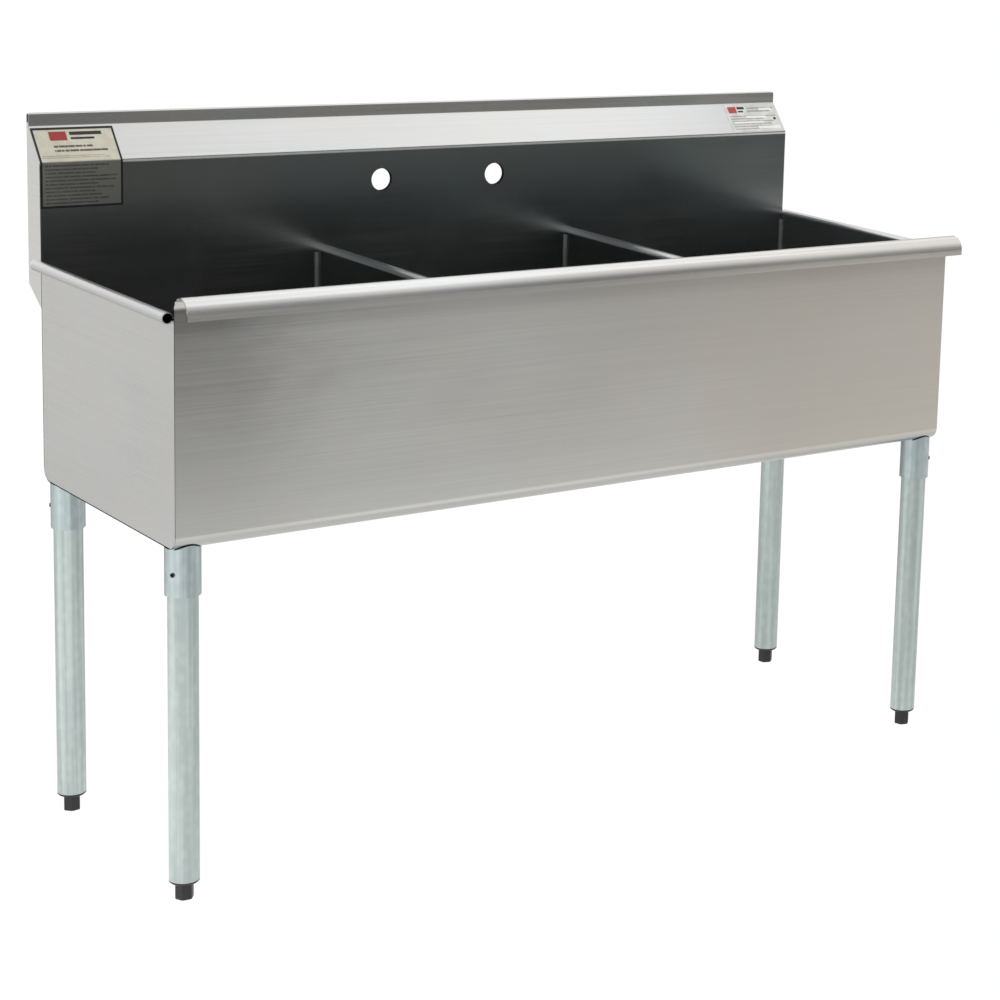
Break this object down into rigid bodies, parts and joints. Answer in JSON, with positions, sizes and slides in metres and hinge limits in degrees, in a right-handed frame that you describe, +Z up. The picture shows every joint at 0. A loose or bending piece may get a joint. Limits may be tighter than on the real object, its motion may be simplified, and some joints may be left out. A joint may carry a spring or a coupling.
{
  "type": "three compartment sink",
  "caption": "Free-standing stainless commercial sink with equal deep bowls side by side, rolled front rim, sloped backsplash with faucet holes, tube legs and levelling feet.",
  "frame": {"origin": "on the floor, under the middle of the overall box", "axes": "+X along the length of the sink (to the right for someone standing in front of it), +Y to the wall behind it, +Z up"},
  "size_m": [1.367, 0.5386, 1.04],
  "materials": {
    "stainless_tub": "horizontal brushed grain, satin",
    "stainless_ends": "brushed, satin",
    "stainless_dividers": "brushed, satin",
    "ground_weld": "ground weld, satin",
    "zinc_socket": "bright zinc plating",
    "black_screw": "black oxide",
    "galvanised_leg": "galvanised tube, faint vertical streaks",
    "black_plug": "moulded",
    "black_foot": "moulded",
    "drain_metal": "polished",
    "rubber_gasket": "matte",
    "locknut_metal": "cast, dull",
    "strainer_metal": "satin",
    "rubber_stopper": "matte",
    "label_cream": "printed film",
    "label_grey": "printed film"
  },
  "bodies": {
    "sink": {"tub_wrap": "stainless_tub", "end_panel_left": "stainless_ends", "end_panel_right": "stainless_ends", "end_cap_left": "stainless_ends", "end_cap_right": "stainless_ends", "divider_left": "stainless_dividers", "divider_right": "stainless_dividers", "corner_welds": "ground_weld", "leg_socket_fl": "zinc_socket", "leg_socket_fr": "zinc_socket", "leg_socket_bl": "zinc_socket", "leg_socket_br": "zinc_socket", "set_screws": "black_screw", "leg_fl": "galvanised_leg", "leg_fr": "galvanised_leg", "leg_bl": "galvanised_leg", "leg_br": "galvanised_leg", "foot_insert_fl": "black_plug", "foot_insert_fr": "black_plug", "foot_insert_bl": "black_plug", "foot_insert_br": "black_plug", "drain_body_left": "drain_metal", "drain_body_centre": "drain_metal", "drain_body_right": "drain_metal", "drain_gasket_left": "rubber_gasket", "drain_gasket_centre": "rubber_gasket", "drain_gasket_right": "rubber_gasket", "drain_locknut_left": "locknut_metal", "drain_locknut_centre": "locknut_metal", "drain_locknut_right": "locknut_metal", "care_label": "label_cream", "data_label": "label_grey"},
    "levelling_foot_fl": {"foot_fl": "black_foot"},
    "levelling_foot_fr": {"foot_fr": "black_foot"},
    "levelling_foot_bl": {"foot_bl": "black_foot"},
    "levelling_foot_br": {"foot_br": "black_foot"},
    "basket_left": {"strainer_left": "strainer_metal", "stopper_left": "rubber_stopper"},
    "basket_centre": {"strainer_centre": "strainer_metal", "stopper_centre": "rubber_stopper"},
    "basket_right": {"strainer_right": "strainer_metal", "stopper_right": "rubber_stopper"}
  },
  "joints": [
    {"name": "foot_fl_extend", "type": "slide", "parent": "sink", "child": "levelling_foot_fl", "axis": [0, 0, -1], "range_m": [0, 0.02]},
    {"name": "foot_fr_extend", "type": "slide", "parent": "sink", "child": "levelling_foot_fr", "axis": [0, 0, -1], "range_m": [0, 0.02]},
    {"name": "foot_bl_extend", "type": "slide", "parent": "sink", "child": "levelling_foot_bl", "axis": [0, 0, -1], "range_m": [0, 0.02]},
    {"name": "foot_br_extend", "type": "slide", "parent": "sink", "child": "levelling_foot_br", "axis": [0, 0, -1], "range_m": [0, 0.02]},
    {"name": "basket_left_lift", "type": "slide", "parent": "sink", "child": "basket_left", "axis": [0, 0, 1], "range_m": [0, 0.06]},
    {"name": "basket_centre_lift", "type": "slide", "parent": "sink", "child": "basket_centre", "axis": [0, 0, 1], "range_m": [0, 0.06]},
    {"name": "basket_right_lift", "type": "slide", "parent": "sink", "child": "basket_right", "axis": [0, 0, 1], "range_m": [0, 0.06]}
  ]
}
